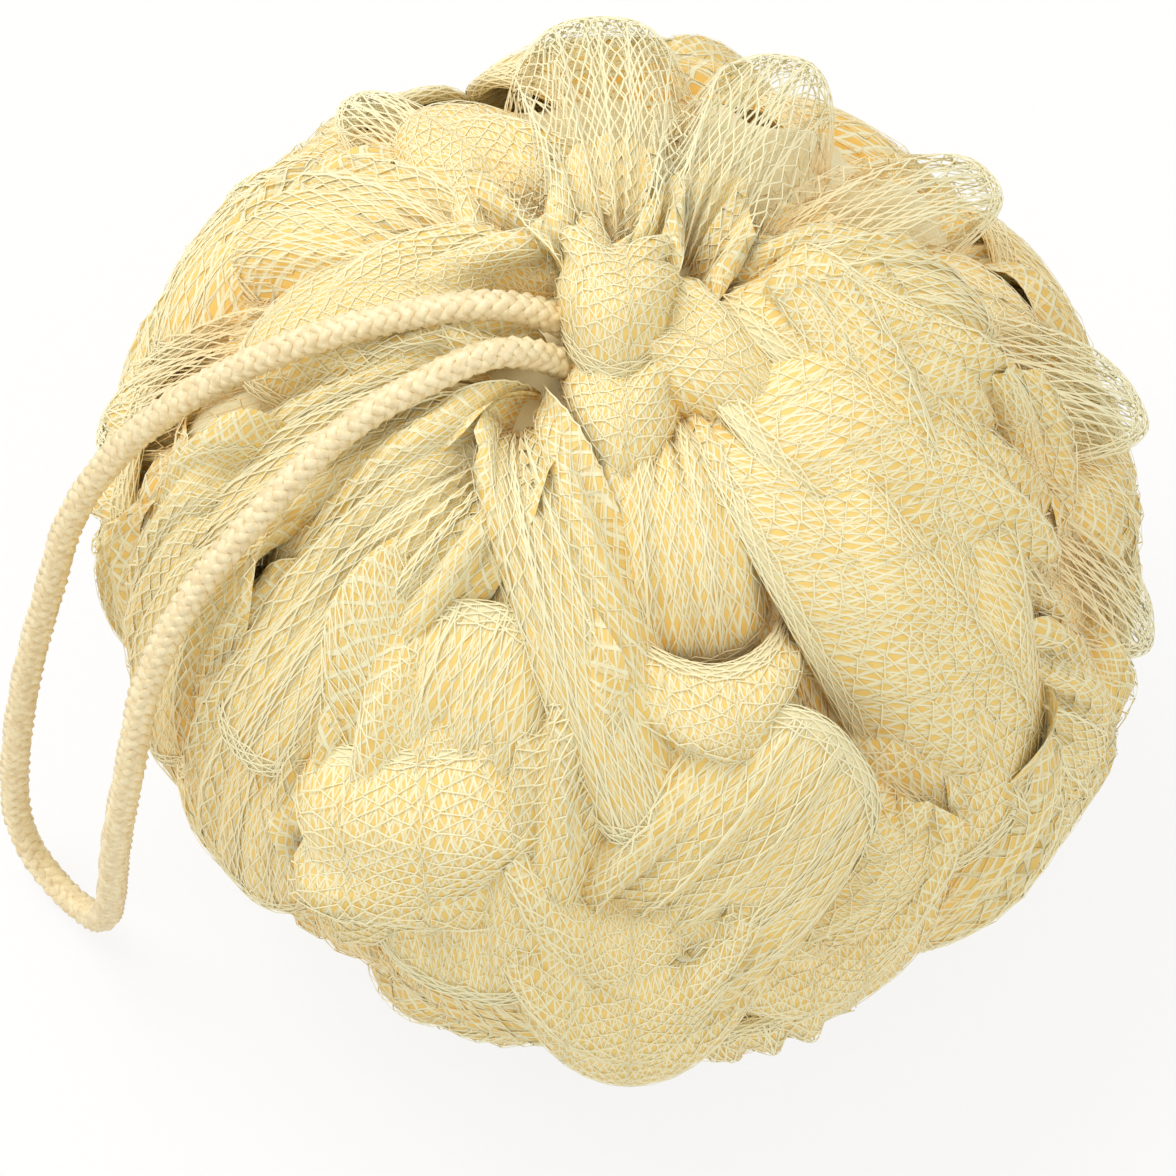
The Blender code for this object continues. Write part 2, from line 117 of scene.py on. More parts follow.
# Each lobe: three places on its rim, the place it passes half way, how wide it is there as a share
# of its rim, and the azimuth and latitude of its root.
LOBES = [
    Lobe("back_fan", [(114, 46, 0.97), (93, 25, 1.06), (74, 46, 0.97)], (93, 66, 0.96), 0.6, (93, 72)),
    Lobe("back_right_fan", [(82, 60, 0.98), (68, 34, 1.05), (48, 46, 0.97)], (64, 68, 0.97), 0.6, (64, 72)),
    Lobe("right_back_loop", [(52, 40, 0.94), (38, 27, 1.05), (25, 44, 0.95)], (37, 58, 0.9), 0.7, (37, 60)),
    Lobe("right_upper", [(40, 56, 0.94), (18, 40, 0.98), (2, 46, 0.94)], (20, 62, 0.96), 0.6, (24, 68)),
    Lobe("right_loop", [(24, 42, 0.93), (9, 17, 1.06), (356, 30, 0.94)], (10, 50, 0.88), 0.7, (10, 52)),
    Lobe("right_low_loop", [(359, 28, 0.93), (350, 1, 1.04), (339, 18, 0.93)],
         (349, 36, 0.87), 0.7, (349, 38)),
    Lobe("right_side", [(345, 20, 0.91), (330, 0, 0.92), (312, 8, 0.90)], (330, 30, 0.92), 0.8, (333, 40)),
    Lobe("upper_sweep", [(40, 76, 0.95), (346, 68, 1.02), (348, 42, 0.95)], (12, 54, 0.97), 0.7, (20, 60)),
    Lobe("long_sweep", [(345, 80, 0.95), (315, 61, 1.03), (327, 30, 0.94)], (350, 50, 0.97), 0.7, (0, 58)),
    Lobe("side_sweep", [(310, 81, 0.94), (300, 53, 1.02), (307, 15, 0.93)], (327, 42, 0.97), 0.7, (342, 50)),
    Lobe("middle_strip", [(262, 38, 0.97), (272, 28, 1.02), (281, 39, 0.97)],
         (246, 63, 1.01), 0.75, (215, 72)),
    Lobe("inner_fan", [(260, 53, 0.88), (283, 45, 0.92), (306, 50, 0.9)], (286, 70, 0.95), 0.7, (300, 80)),
    Lobe("middle_cup", [(260, 55, 0.94), (284, 46, 1.01), (304, 48, 0.96)], (283, 34, 0.96), 0.8, (281, 20)),
    Lobe("front_left_cup", [(222, 27, 0.95), (243, 51, 1.02), (263, 38, 0.97)],
         (243, 26, 0.93), 0.8, (243, 14)),
    Lobe("front_left_lip", [(226, 24, 0.99), (242, 33, 1.03), (260, 40, 0.98)],
         (248, 14, 1.02), 0.9, (250, -10)),
    Lobe("front_left_lobe", [(229, 22, 0.97), (253, 5, 1.05), (269, 24, 0.97)],
         (250, 36, 0.96), 0.8, (252, 44)),
    Lobe("front_right_cup", [(271, 38, 0.96), (300, 33, 1.05), (290, 6, 0.99)],
         (276, 16, 0.97), 0.7, (268, 6)),
    Lobe("lowest_lobe", [(255, 2, 0.96), (271, -14, 1.06), (287, 0, 0.96)], (271, 12, 0.99), 0.8, (271, 30)),
    Lobe("low_right_lobe", [(300, 30, 0.93), (308, 12, 0.99), (290, 2, 0.95)],
         (294, 16, 0.93), 0.7, (286, 20)),
    Lobe("top_pouch", [(155, 81, 0.99), (255, 82, 1.03), (350, 83, 0.99)], (100, 84, 1.04), 0.7, (90, 72)),
    Lobe("neck_right_fold", [(20, 74, 0.93), (335, 66, 0.97), (300, 76, 0.93)], (0, 84, 0.97), 0.7, (60, 78)),
    Lobe("neck_front_fold", [(240, 74, 0.93), (268, 67, 0.96), (300, 74, 0.93)],
         (268, 83, 0.96), 0.7, (90, 82)),
    Lobe("left_arch", [(150, 54, 0.95), (172, 38, 0.98), (192, 52, 0.95)], (166, 66, 0.99), 0.6, (160, 72)),
    Lobe("left_back", [(130, 44, 0.95), (146, 27, 1.0), (162, 36, 0.95)], (143, 56, 0.93), 0.65, (142, 66)),
    Lobe("back_loop", [(133, 40, 0.92), (124, 22, 1.04), (115, 40, 0.93)], (124, 52, 0.86), 0.7, (124, 56)),
    Lobe("left_back_loop", [(149, 32, 0.92), (139, 14, 1.04), (131, 32, 0.92)],
         (140, 42, 0.86), 0.7, (140, 44)),
    Lobe("left_far_loop", [(178, 26, 0.93), (168, 4, 1.04), (157, 22, 0.93)],
         (168, 36, 0.88), 0.7, (168, 38)),
    Lobe("left_upper", [(182, 44, 0.95), (194, 22, 0.99), (208, 38, 0.95)], (196, 60, 0.96), 0.65, (196, 70)),
    Lobe("left_side", [(186, 14, 0.94), (199, -8, 0.99), (212, 8, 0.94)], (199, 30, 0.95), 0.7, (199, 34)),
    Lobe("left_front", [(206, 38, 0.95), (220, 18, 1.0), (238, 36, 0.95)], (224, 56, 0.97), 0.65, (226, 68)),
    Lobe("left_low", [(207, 10, 0.94), (221, -8, 1.0), (237, 6, 0.94)], (221, 26, 0.92), 0.7, (221, 28)),
    Lobe("small_arch", [(198, 54, 0.93), (214, 66, 0.99), (230, 57, 0.94)], (215, 45, 0.9), 0.7, (215, 40)),
    Lobe("low_left_fold", [(234, 4, 0.9), (246, -14, 0.98), (258, -2, 0.9)], (246, 16, 0.84), 0.7, (246, 16)),
    Lobe("low_right_fold", [(288, 0, 0.9), (301, -13, 0.94), (314, 0, 0.88)],
         (301, 16, 0.84), 0.7, (301, 16)),
    Lobe("right_under_sweep", [(330, 34, 0.9), (318, 16, 0.97), (300, 26, 0.92)],
         (322, 46, 0.9), 0.8, (324, 50)),
    Lobe("right_under_loop", [(2, 14, 0.9), (348, -8, 0.93), (334, 10, 0.9)], (349, 26, 0.9), 0.8, (349, 30)),
    Lobe("low_front_fold", [(272, -8, 0.9), (286, -26, 0.97), (300, -6, 0.9)], (286, 4, 0.88), 0.8, (286, 6)),
    Lobe("low_right_cover", [(278, -6, 0.95), (295, -24, 1.02), (312, -6, 0.94)],
         (295, 6, 0.93), 0.8, (295, 8)),
    Lobe("right_edge_sweep", [(8, 50, 0.94), (326, 14, 1.0), (296, 5, 0.93)],
         (325, 44, 0.96), 0.75, (322, 58)),
    Lobe("back_tuck", [(104, 48, 0.92), (121, 33, 0.97), (137, 46, 0.92)], (120, 58, 0.93), 0.8, (120, 64)),
    Lobe("left_tuck", [(200, 42, 0.9), (210, 30, 0.93), (222, 40, 0.9)], (210, 50, 0.9), 0.8, (210, 54)),
    Lobe("front_tuck", [(238, 52, 0.9), (247, 45, 0.93), (257, 52, 0.9)], (247, 61, 0.9), 0.8, (247, 65)),
    Lobe("right_tuck", [(6, 34, 0.9), (18, 22, 0.94), (30, 34, 0.9)], (18, 44, 0.9), 0.8, (18, 48)),
    Lobe("low_left_tuck", [(232, -4, 0.88), (243, -22, 0.95), (256, -8, 0.88)],
         (243, 6, 0.86), 0.8, (243, 8)),
    Lobe("inner_shade", [(262, 40, 0.84), (290, 22, 0.92), (312, 42, 0.86)], (290, 56, 0.84), 0.9, (290, 60)),
    Lobe("right_low_fold", [(314, 6, 0.87), (327, -11, 0.88), (341, 2, 0.87)],
         (327, 18, 0.86), 0.7, (327, 18)),
]

# The lobes that ruffle the rest of the ball, spaced evenly over it and set at random from one seed.
SCATTER = 120
SCATTER_SEED = 11
SCATTER_TOP_BACK = 26
SCATTER_TOP_FRONT = -6
SCATTER_FOOT = -74
SCATTER_HALF_WIDTH = (13, 18)
SCATTER_LENGTH = (18, 27)
SCATTER_REACH = (0.93, 1.02)

FOOT_LOBES = [
    Lobe("foot_front", [(225, -70, 0.98), (262, -62, 1.0), (310, -70, 0.98)],
         (90, -88, 1.03), 0.8, (90, -72)),
    Lobe("foot_back", [(45, -70, 0.98), (80, -64, 1.0), (130, -70, 0.98)], (270, -88, 1.03), 0.8, (270, -72)),
]

# The lobes whose tips stand clear of the ball, with nothing but net in them.
SHEER = {
    "back_fan",
    "back_right_fan",
    "right_back_loop",
    "right_loop",
    "right_low_loop",
    "right_side",
    "back_loop",
    "left_back_loop",
    "left_far_loop",
}

# The folds and tucks with an evenly bent rim, whose creases and meshes run along it.
SWEEPS = {
    "upper_sweep",
    "long_sweep",
    "side_sweep",
    "middle_cup",
    "low_right_lobe",
    "front_left_lip",
    "lowest_lobe",
    "top_pouch",
    "neck_right_fold",
    "neck_front_fold",
    "small_arch",
    "left_arch",
    "right_under_sweep",
    "right_under_loop",
    "right_low_fold",
    "low_right_fold",
    "low_front_fold",
    "low_left_fold",
    "low_left_tuck",
    "low_right_cover",
    "right_edge_sweep",
    "back_tuck",
    "left_tuck",
    "front_tuck",
    "right_tuck",
}

# The lobes whose meshes are drawn out along the rim instead of towards it.
CROSSWISE = SWEEPS | {"front_left_lobe"}

# The cord's route in millimetres, from the knot over the left side to the floor and back.
CORD_ROUTE = [
    (-1.4, 2.4, 76.9),
    (-1.8, 2.3, 86.0),
    (-2.8, 2.0, 96.0),
    (-6.5, 1.3, 106.0),
    (-15.0, 0.3, 112.2),
    (-28.0, 0.0, 109.0),
    (-40.0, -0.7, 103.0),
    (-50.6, -1.8, 94.6),
    (-59.2, -3.1, 84.0),
    (-65.4, -4.8, 71.5),
    (-69.0, -7.0, 57.5),
    (-72.8, -9.6, 41.0),
    (-75.4, -12.0, 25.0),
    (-76.4, -14.0, 12.5),
    (-75.2, -16.6, 5.2),
    (-71.8, -20.6, 2.5),
    (-67.4, -25.6, 4.2),
    (-64.6, -29.4, 11.5),
    (-62.8, -32.4, 25.0),
    (-61.4, -34.6, 40.0),
    (-59.8, -35.4, 53.0),
    (-57.8, -34.0, 65.0),
    (-55.4, -30.4, 77.0),
    (-50.0, -25.6, 89.0),
    (-41.4, -19.6, 99.0),
    (-32.0, -13.0, 106.0),
    (-22.0, -8.6, 110.6),
    (-13.6, -5.6, 111.6),
    (-6.4, -3.6, 105.0),
    (-2.8, -2.7, 95.0),
    (-1.8, -2.4, 86.0),
    (-1.4, -2.4, 76.9),
]


def place_on(azimuth, latitude, reach, radius, half_height):
    """A place on a flattened ball of the given size."""
    turn, rise = math.radians(azimuth), math.radians(latitude)
    way = np.array([math.cos(rise) * math.cos(turn), math.cos(rise) * math.sin(turn), math.sin(rise)])
    size = reach / math.hypot(math.hypot(way[0], way[1]) / radius, way[2] / half_height)
    return way * size + CENTRE


def on_ball(azimuth, latitude, reach):
    """A place on the pouf's own ball."""
    return place_on(azimuth, latitude, reach, BALL_RADIUS, BALL_HALF_HEIGHT)


def inwards(points):
    """The ways from the points to the ball's middle."""
    way = CENTRE - points
    return way / np.linalg.norm(way, axis=-1, keepdims=True)


def smooth_lobe(lobe, across, along):
    """Points of a lobe without its gathers: across runs along the rim, along from the root to the rim."""
    s, t = across[..., None], along[..., None]
    first, crown, last = (on_ball(*place) for place in lobe.rim)
    edge = np.abs(2 * s - 1)
    bulge = crown - (first + last) / 2
    fullness = EVEN_FULLNESS if lobe.name in SWEEPS else RIM_FULLNESS
    rim = first + s * (last - first) + (1 - edge**fullness) * bulge
    middle = on_ball(*lobe.shoulder) + lobe.spread * (rim - crown)
    root = place_on(*lobe.root, ROOT_DEPTH, CORE_RADIUS, CORE_HALF_HEIGHT)
    start = root + ROOT_SPREAD * (rim - crown)
    pull = 2 * middle - (start + rim) / 2
    flat = (1 - t) ** 2 * start + 2 * t * (1 - t) * pull + t**2 * rim
    sink = SIDE_SINK * t * edge**SIDE_SHARPNESS
    sink = sink + TIP_SINK * (np.maximum(t - TIP_FROM, 0.0) / (1 - TIP_FROM)) ** 2
    return flat + sink * inwards(flat)


def lobe_frame(lobe, across, along):
    """Points of a lobe's middle surface and the ways that point out of it."""
    small = 1e-3
    points = smooth_lobe(lobe, across, along)
    sideways = smooth_lobe(lobe, across + small, along) - smooth_lobe(lobe, across - small, along)
    outward = smooth_lobe(lobe, across, along + small) - smooth_lobe(lobe, across, along - small)
    normal = np.cross(sideways, outward)
    normal /= np.linalg.norm(normal, axis=-1, keepdims=True)
    phase = 7 * math.radians(lobe.rim[1][0])
    over, beside = (0.6 * along, across) if lobe.name in SWEEPS else (across, along)
    broad = np.sin(2 * math.pi * CREASES * over + phase + 2 * beside)
    fine = np.sin(2 * math.pi * 2.3 * CREASES * over + 2 * phase - 3 * beside)
    first, last = on_ball(*lobe.rim[0]), on_ball(*lobe.rim[2])
    depth = CREASE * min(1.0, np.linalg.norm(last - first) / CREASED_WIDTH)
    depth = depth * np.sin(math.pi * np.clip(along, 0, 1)) ** 0.7
    wave = depth * (1 - 2 * np.abs(broad) ** 0.8 + 0.45 * fine)
    points = points + wave[..., None] * normal
    if np.sum(normal * inwards(points)) > 0:
        normal = -normal
    return points, normal


def shifted(azimuth, latitude, east, north):
    """A place moved by so many degrees of arc, kept off the poles."""
    up = min(max(latitude + north, -84.0), 84.0)
    return azimuth + east / math.cos(math.radians(min(max(latitude, -70.0), 70.0))), up


def lobe_at(name, azimuth, latitude, turn, half_width, length, reach):
    """A lobe by the middle of its rim and the way it flows: 0 is down, 90 is towards the east."""
    flow = (math.sin(math.radians(turn)), -math.cos(math.radians(turn)))
    side = (-flow[1], flow[0])

    def place(forward, sideways):
        east = forward * flow[0] + sideways * side[0]
        north = forward * flow[1] + sideways * side[1]
        return shifted(azimuth, latitude, east, north)

    rim = [
        (*place(-0.25 * length, -half_width), reach - 0.05),
        (*place(0.35 * length, 0.0), reach),
        (*place(-0.25 * length, half_width), reach - 0.05),
    ]
    return Lobe(name, rim, (*place(-0.7 * length, 0.0), reach - 0.05), 0.75, place(-length, 0.0))


def scattered_lobes():
    """The lobes of the back, the sides and the underside."""
    chance = np.random.default_rng(SCATTER_SEED)
    lobes = []
    for i in range(SCATTER):
        latitude = math.degrees(math.asin(1 - 2 * (i + 0.5) / SCATTER))
        azimuth = (i * 180 * (3 - math.sqrt(5))) % 360
        turn, width, length, reach = chance.random(4)
        front = (1 - math.sin(math.radians(azimuth))) / 2
        top = SCATTER_TOP_BACK + (SCATTER_TOP_FRONT - SCATTER_TOP_BACK) * front
        if SCATTER_FOOT < latitude < top:
            wide = np.interp(width, (0, 1), SCATTER_HALF_WIDTH)
            long = np.interp(length, (0, 1), SCATTER_LENGTH)
            far = np.interp(reach, (0, 1), SCATTER_REACH)
            lobes.append(lobe_at(f"ruffle_{i}", azimuth, latitude, 360 * turn, wide, long, far))
    return lobes


def smooth_route(points, step):
    """Points a step apart on a smooth curve through the given points."""
    points = np.array(points, float)
    ends = np.vstack([2 * points[0] - points[1], points, 2 * points[-1] - points[-2]])
    fine = []
    for before, start, end, after in zip(ends, ends[1:], ends[2:], ends[3:]):
        for t in np.linspace(0.0, 1.0, 12, endpoint=False):
            bend = (2 * before - 5 * start + 4 * end - after) * t**2
            twist = (3 * start - before - 3 * end + after) * t**3
            fine.append(0.5 * (2 * start + (end - before) * t + bend + twist))
    fine = np.vstack(fine + [points[-1]])
    along = np.concatenate([[0.0], np.cumsum(np.linalg.norm(np.diff(fine, axis=0), axis=1))])
    places = np.linspace(0.0, along[-1], round(along[-1] / step) + 1)
    return np.stack([np.interp(places, along, fine[:, k]) for k in range(3)], axis=1)


class Wire:
    """A shader socket that Python's operators do sums on."""

    def __init__(self, finish, socket):
        self.finish = finish
        self.socket = socket

    def sum(self, operation, *others):
        values = {k: value for k, value in enumerate([self, *others])}
        made = self.finish.node("ShaderNodeMath", {"operation": operation}, values)
        return Wire(self.finish, made.outputs[0])

    def __add__(self, other):
        return self.sum("ADD", other)

    __radd__ = __add__

    def __sub__(self, other):
        return self.sum("SUBTRACT", other)

    def __rsub__(self, other):
        return (self * -1).sum("ADD", other)

    def __mul__(self, other):
        return self.sum("MULTIPLY", other)

    __rmul__ = __mul__

    def __truediv__(self, other):
        return self.sum("DIVIDE", other)

    def __pow__(self, other):
        return self.sum("POWER", other)

    def __abs__(self):
        return self.sum("ABSOLUTE")

    def sine(self):
        return self.sum("SINE")

    def fraction(self):
        return self.sum("FRACT")

    def ramp(self, low, high, start=0.0, end=1.0):
        """The value eased from start at low to end at high."""
        values = {"Value": self, "From Min": low, "From Max": high, "To Min": start, "To Max": end}
        settings = {"interpolation_type": "SMOOTHSTEP"}
        made = self.finish.node("ShaderNodeMapRange", settings, values)
        return Wire(self.finish, made.outputs["Result"])


class Finish:
    """A node material and the calls that build it."""

    def __init__(self, name, colour, roughness):
        self.material = bpy.data.materials.new(name)
        self.material.use_nodes = True
        self.tree = self.material.node_tree
        self.shader = self.tree.nodes["Principled BSDF"]
        self.output = self.tree.nodes["Material Output"]
        self.shader.inputs["Base Color"].default_value = (*colour, 1.0)
        self.shader.inputs["Roughness"].default_value = roughness
        self.material.diffuse_color = (*colour, 1.0)

    def put(self, socket, value):
        if isinstance(value, Wire):
            value = value.socket
        if isinstance(value, bpy.types.NodeSocket):
            self.tree.links.new(value, socket)
        elif isinstance(value, tuple) and len(value) == 3 and socket.type == "RGBA":
            socket.default_value = (*value, 1.0)
        else:
            socket.default_value = value

    def node(self, kind, settings=None, values=None):
        made = self.tree.nodes.new(kind)
        for key, value in (settings or {}).items():
            setattr(made, key, value)
        for key, value in (values or {}).items():
            self.put(made.inputs[key], value)
        return made

    def object_place(self):
        return self.node("ShaderNodeTexCoord").outputs["Object"]

    def parts_of(self, vector):
        made = self.node("ShaderNodeSeparateXYZ", None, {0: vector})
        return [Wire(self, made.outputs[k]) for k in range(3)]

    def noise(self, vector, scale, detail=2.0):
        made = self.node("ShaderNodeTexNoise", None, {"Vector": vector, "Scale": scale, "Detail": detail})
        return Wire(self, made.outputs["Fac"])

    def blend(self, factor, first, second):
        made = self.node("ShaderNodeMix", {"data_type": "RGBA"})
        self.put(made.inputs[0], factor)
        self.put(made.inputs[6], first)
        self.put(made.inputs[7], second)
        return made.outputs[2]

    def colour(self, value):
        self.put(self.shader.inputs["Base Color"], value)

    def bump(self, height, distance, strength=1.0):
        values = {"Height": height, "Distance": distance, "Strength": strength}
        self.put(self.shader.inputs["Normal"], self.node("ShaderNodeBump", None, values).outputs["Normal"])


def drawn_net(rising, falling, strength):
    """A net drawn by two sets of slanting lines: strength on its threads and 0 in its holes."""
    near = abs(rising.fraction() - 0.5).sum("MINIMUM", abs(falling.fraction() - 0.5))
    return near.ramp(0.08, 0.15, strength, 0.0)


def openness(finish):
    """0 in the deep folds and 1 at the ball's outside: the mask of the painted shade in the folds."""
    x, y, z = finish.parts_of(finish.object_place())
    flat = (x * x + y * y) / BALL_RADIUS**2
    high = (z - float(CENTRE[2])) / BALL_HALF_HEIGHT
    return ((flat + high * high) ** 0.5).ramp(0.82, 1.0)


class Tree:
    """A geometry node tree with named inputs, and the calls that build it."""

    def __init__(self, name, inputs):
        self.group = bpy.data.node_groups.new(name, "GeometryNodeTree")
        face = self.group.interface
        face.new_socket(name="Geometry", in_out="INPUT", socket_type="NodeSocketGeometry")
        for label, kind, value in inputs:
            socket = face.new_socket(name=label, in_out="INPUT", socket_type="NodeSocket" + kind)
            if value is not None:
                socket.default_value = value
        face.new_socket(name="Geometry", in_out="OUTPUT", socket_type="NodeSocketGeometry")
        self.given = self.group.nodes.new("NodeGroupInput").outputs
        self.made = self.group.nodes.new("NodeGroupOutput").inputs

    def node(self, kind, settings=None, values=None):
        made = self.group.nodes.new(kind)
        for key, value in (settings or {}).items():
            setattr(made, key, value)
        for key, value in (values or {}).items():
            if isinstance(value, bpy.types.NodeSocket):
                self.group.links.new(value, made.inputs[key])
            else:
                made.inputs[key].default_value = value
        return made

    def math(self, operation, *values):
        return self.node("ShaderNodeMath", {"operation": operation}, dict(enumerate(values))).outputs[0]

    def vector(self, operation, *values):
        made = self.node("ShaderNodeVectorMath", {"operation": operation}, dict(enumerate(values)))
        return made.outputs["Vector"]

    def scaled(self, vector, size):
        made = self.node("ShaderNodeVectorMath", {"operation": "SCALE"}, {0: vector, "Scale": size})
        return made.outputs["Vector"]

    def finish(self, geometry, material):
        whole = self.node("GeometryNodeRealizeInstances", None, {"Geometry": geometry})
        painted = self.node(
            "GeometryNodeSetMaterial", None, {"Geometry": whole.outputs[0], "Material": material}
        )
        self.group.links.new(painted.outputs[0], self.made[0])
        return self.group

    def socket_id(self, label):
        for item in self.group.interface.items_tree:
            if item.item_type == "SOCKET" and item.in_out == "INPUT" and item.name == label:
                return item.identifier
        raise KeyError(label)


def grow(name, source, tree, values):
    """A plain mesh object of what the tree makes from the source mesh."""
    base = bpy.data.objects.new(name, source)
    bpy.context.scene.collection.objects.link(base)
    step = base.modifiers.new("grow", "NODES")
    step.node_group = tree.group
    for label, value in values.items():
        step[tree.socket_id(label)] = value
    bpy.context.view_layer.update()
    seen = base.evaluated_get(bpy.context.evaluated_depsgraph_get())
    data = bpy.data.meshes.new_from_object(seen)
    base.modifiers.clear()
    base.data = data
    data.name = name
    return base


def thread_tree():
    """Sweeps every line of the net into a thread with a shallow arch for its section."""
    tree = Tree(
        "Net threads",
        [
            ("Thread diameter", "Float", 0.0003),
            ("Wander", "Float", 0.0003),
            ("Material", "Material", None),
        ],
    )
    noise = tree.node("ShaderNodeTexNoise", {"noise_dimensions": "3D"}, {"Scale": 260.0, "Detail": 1.0})
    centred = tree.vector("SUBTRACT", noise.outputs["Color"], (0.5, 0.5, 0.5))
    moved = tree.node(
        "GeometryNodeSetPosition",
        None,
        {"Geometry": tree.given["Geometry"], "Offset": tree.scaled(centred, tree.given["Wander"])},
    )
    lines = tree.node("GeometryNodeMeshToCurve", None, {"Mesh": moved.outputs[0]})
    out = tree.node("GeometryNodeInputNamedAttribute", {"data_type": "FLOAT_VECTOR"}, {"Name": "out"})
    faced = tree.node(
        "GeometryNodeSetCurveNormal", {"mode": "FREE"}, {"Curve": lines.outputs[0], "Normal": out.outputs[0]}
    )
    arch = tree.node(
        "GeometryNodeCurveQuadraticBezier",
        None,
        {"Resolution": 2, "Start": (0.0, -0.5, 0.0), "Middle": (0.7, 0.0, 0.0), "End": (0.0, 0.5, 0.0)},
    )
    size = tree.given["Thread diameter"]
    profile = tree.node("GeometryNodeTransform", None, {"Geometry": arch.outputs[0]})
    tree.group.links.new(size, profile.inputs["Scale"])
    swept = tree.node(
        "GeometryNodeCurveToMesh", None, {"Curve": faced.outputs[0], "Profile Curve": profile.outputs[0]}
    )
    tree.finish(swept.outputs[0], tree.given["Material"])
    return tree


def braid_tree():
    """Braids flat yarns over and under each other along a curve."""
    tree = Tree(
        "Braided cord",
        [
            ("Cord diameter", "Float", 0.004),
            ("Lead", "Float", 0.0068),
            ("Yarn width", "Float", 0.0014),
            ("Yarn thickness", "Float", 0.0008),
            ("Material", "Material", None),
        ],
    )
    line = tree.node("GeometryNodeMeshToCurve", None, {"Mesh": tree.given["Geometry"]})
    even = tree.node(
        "GeometryNodeResampleCurve", {"mode": "LENGTH"}, {"Curve": line.outputs[0], "Length": YARN_STEP}
    )
    normal = tree.node("GeometryNodeInputNormal").outputs[0]
    tangent = tree.node("GeometryNodeInputTangent").outputs[0]
    side = tree.vector("CROSS_PRODUCT", tangent, normal)
    length = tree.node("GeometryNodeSplineParameter").outputs["Length"]
    turn = tree.math("MULTIPLY", tree.math("DIVIDE", length, tree.given["Lead"]), 2 * math.pi)
    weave = tree.math("COSINE", tree.math("MULTIPLY", turn, float(YARNS_EACH_WAY)))
    lift = tree.math("MULTIPLY", tree.given["Yarn thickness"], 0.32)
    middle = tree.math(
        "SUBTRACT",
        tree.math("DIVIDE", tree.given["Cord diameter"], 2.0),
        tree.math("MULTIPLY", tree.given["Yarn thickness"], 0.82),
    )
    ring = tree.node("GeometryNodeCurvePrimitiveCircle", {"mode": "RADIUS"}, {"Resolution": 8, "Radius": 0.5})
    size = tree.node(
        "ShaderNodeCombineXYZ", None, {0: tree.given["Yarn thickness"], 1: tree.given["Yarn width"], 2: 1.0}
    )
    profile = tree.node(
        "GeometryNodeTransform", None, {"Geometry": ring.outputs[0], "Scale": size.outputs[0]}
    )
    joined = tree.node("GeometryNodeJoinGeometry")
    for way in (1.0, -1.0):
        rise = tree.math("MULTIPLY_ADD", weave, tree.math("MULTIPLY", lift, way), middle)
        for k in range(YARNS_EACH_WAY):
            angle = tree.math("MULTIPLY_ADD", turn, way, 2 * math.pi * k / YARNS_EACH_WAY)
            along = tree.scaled(normal, tree.math("COSINE", angle))
            out = tree.vector("ADD", along, tree.scaled(side, tree.math("SINE", angle)))
            held = tree.node(
                "GeometryNodeStoreNamedAttribute",
                {"data_type": "FLOAT_VECTOR"},
                {"Geometry": even.outputs[0], "Name": "out", "Value": out},
            )
            moved = tree.node(
                "GeometryNodeSetPosition",
                None,
                {"Geometry": held.outputs[0], "Offset": tree.scaled(out, rise)},
            )
            kept = tree.node(
                "GeometryNodeInputNamedAttribute", {"data_type": "FLOAT_VECTOR"}, {"Name": "out"}
            )
            faced = tree.node(
                "GeometryNodeSetCurveNormal",
                {"mode": "FREE"},
                {"Curve": moved.outputs[0], "Normal": kept.outputs[0]},
            )
            yarn = tree.node(
                "GeometryNodeCurveToMesh",
                None,
                {"Curve": faced.outputs[0], "Profile Curve": profile.outputs[0], "Fill Caps": True},
            )
            tree.group.links.new(yarn.outputs[0], joined.inputs[0])
    tree.finish(joined.outputs[0], tree.given["Material"])
    return tree


def line_mesh(name, lines, outs=None):
    """A mesh of separate polylines, with the way that each point faces."""
    verts = np.concatenate(lines)
    edges = []
    at = 0
    for line in lines:
        ids = np.arange(at, at + len(line))
        edges.append(np.stack([ids[:-1], ids[1:]], axis=1))
        at += len(line)
    data = bpy.data.meshes.new(name)
    data.from_pydata(verts.tolist(), np.concatenate(edges).tolist(), [])
    if outs:
        facing = data.attributes.new("out", "FLOAT_VECTOR", "POINT")
        facing.data.foreach_set("vector", np.concatenate(outs).astype(np.float32).ravel())
    return data


def lobe_layers(lobe, across, course, fold, layer_gap):
    """Points of the doubled net: course runs 0 to 1 up the outer layer, then round the fold and back."""
    bend = np.clip((course - 1) / fold, 0, 1) * math.pi
    along = np.where(course < 1, course, np.where(course > 1 + fold, 2 + fold - course, 1.0))
    points, normal = lobe_frame(lobe, across, along)
    ahead = smooth_lobe(lobe, across, along) - smooth_lobe(lobe, across, along - 0.02)
    ahead /= np.linalg.norm(ahead, axis=-1, keepdims=True)
    out = np.cos(bend)[..., None] * normal + np.sin(bend)[..., None] * ahead
    points = points + layer_gap / 2 * out
    points[..., 2] = np.maximum(points[..., 2], FLOOR_CLEARANCE)
    return points, out


def lobe_size(lobe):
    """How wide a lobe is along its rim and how long from its root to its rim."""
    probe = np.linspace(0, 1, 25)
    rim = smooth_lobe(lobe, probe, np.ones(25))
    spine = smooth_lobe(lobe, np.full(25, 0.5), probe)
    width = np.linalg.norm(np.diff(rim, axis=0), axis=1).sum()
    return width, np.linalg.norm(np.diff(spine, axis=0), axis=1).sum()


def bunching(lobe, across, course, width):
    """How far sideways the threads are drawn together into streaks."""
    waves = 2 * math.pi * width / STREAK
    phase = 9 * math.radians(lobe.rim[1][0])
    first = np.sin(waves * across + phase + 2.2 * course)
    second = np.sin(1.7 * waves * across + 2 * phase - 3.1 * course)
    return (0.62 * first + 0.3 * second) / waves


